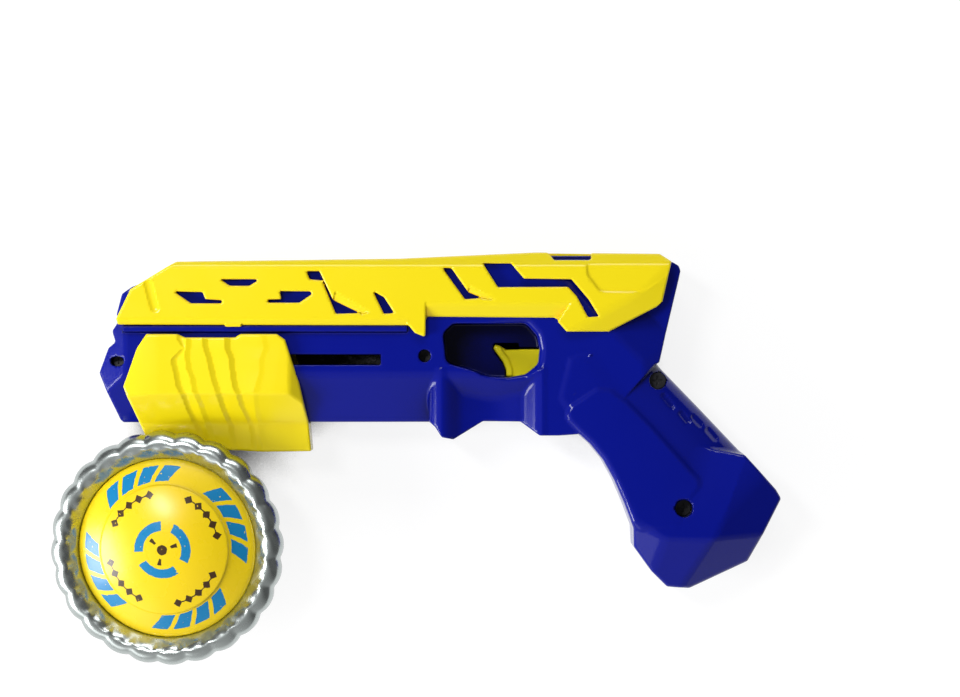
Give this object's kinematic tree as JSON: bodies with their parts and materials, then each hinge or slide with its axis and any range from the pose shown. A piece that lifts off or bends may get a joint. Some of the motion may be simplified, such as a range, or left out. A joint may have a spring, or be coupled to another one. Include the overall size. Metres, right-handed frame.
{
  "type": "spinning top launcher",
  "caption": "Pistol-shaped pump launcher for spinning tops: sliding foregrip turns a twisted drive screw, trigger ejects the top, and one top stands beside it.",
  "frame": {"origin": "centre of the muzzle socket's mouth, on the drive screw's axis", "axes": "+X back from the muzzle towards the grip, +Y the launcher's own up, +Z out of its left side; it lies on its right side"},
  "size_m": [0.2429, 0.137, 0.0375],
  "materials": {
    "blue_shell": "glossy moulded polystyrene",
    "yellow_shell": "semi-gloss moulded polystyrene",
    "natural_plastic": "unpainted acetal",
    "dark_plastic": "matt moulded plastic",
    "spring_steel": "drawn wire",
    "screw_steel": "plated",
    "silver_ring": "vacuum-metallised plastic"
  },
  "bodies": {
    "frame": {"left_housing": "blue_shell", "right_housing": "blue_shell", "left_cover": "yellow_shell", "right_cover": "yellow_shell", "housing_screws": "screw_steel", "front_bearing": "natural_plastic", "rear_bearing": "natural_plastic", "rocker_pin": "screw_steel", "drive_spring": "spring_steel", "trigger_spring": "spring_steel"},
    "pump": {"left_pump_grip": "yellow_shell", "right_pump_grip": "yellow_shell", "pump_carriage": "natural_plastic", "drive_nut": "dark_plastic", "pump_screws": "screw_steel"},
    "spindle": {"muzzle_socket": "natural_plastic", "drive_screw": "screw_steel", "retaining_clip": "spring_steel"},
    "trigger_assembly": {"trigger": "yellow_shell", "trigger_bar": "dark_plastic"},
    "rocker_lever": {"rocker": "dark_plastic"},
    "ejector": {"ejector_rod": "dark_plastic"},
    "spinning_top": {"top_dome": "yellow_shell", "top_ring": "silver_ring", "top_base": "dark_plastic", "top_flywheel": "screw_steel", "top_tip": "screw_steel", "top_screws": "screw_steel"}
  },
  "joints": [
    {"name": "pump_slide", "type": "slide", "parent": "frame", "child": "pump", "axis": [1, 0, 0], "range_m": [0, 0.036], "stiffness_N_per_m": 80, "springref_m": -0.02, "deforming": ["drive_spring"]},
    {"name": "spindle_spin", "type": "hinge", "parent": "frame", "child": "spindle", "pos_m": [0, 0, 0], "axis": [-1, 0, 0], "range_deg": [0, 540.5]},
    {"name": "trigger_pull", "type": "slide", "parent": "frame", "child": "trigger_assembly", "axis": [1, 0, 0], "range_m": [0, 0.004], "stiffness_N_per_m": 300, "springref_m": -0.004, "deforming": ["trigger_spring"]},
    {"name": "rocker_turn", "type": "hinge", "parent": "frame", "child": "rocker_lever", "pos_m": [0.022, 0.02352, 0], "axis": [0, 0, -1], "range_deg": [0, 23]},
    {"name": "ejector_slide", "type": "slide", "parent": "frame", "child": "ejector", "axis": [-1, 0, 0], "range_m": [0, 0.00245]},
    {"name": "top_spin", "type": "hinge", "parent": "frame", "child": "spinning_top", "pos_m": [0.0203, -0.0504, -0.018], "axis": [-0.1034, -0.0664, 0.9924], "continuous": true}
  ],
  "couplings": [
    {"joint": "spindle_spin", "follows": "pump_slide", "rad_per_m": 261.8},
    {"joint": "rocker_turn", "follows": "trigger_pull", "rad_per_m": 100},
    {"joint": "ejector_slide", "follows": "trigger_pull", "ratio": 0.6}
  ]
}
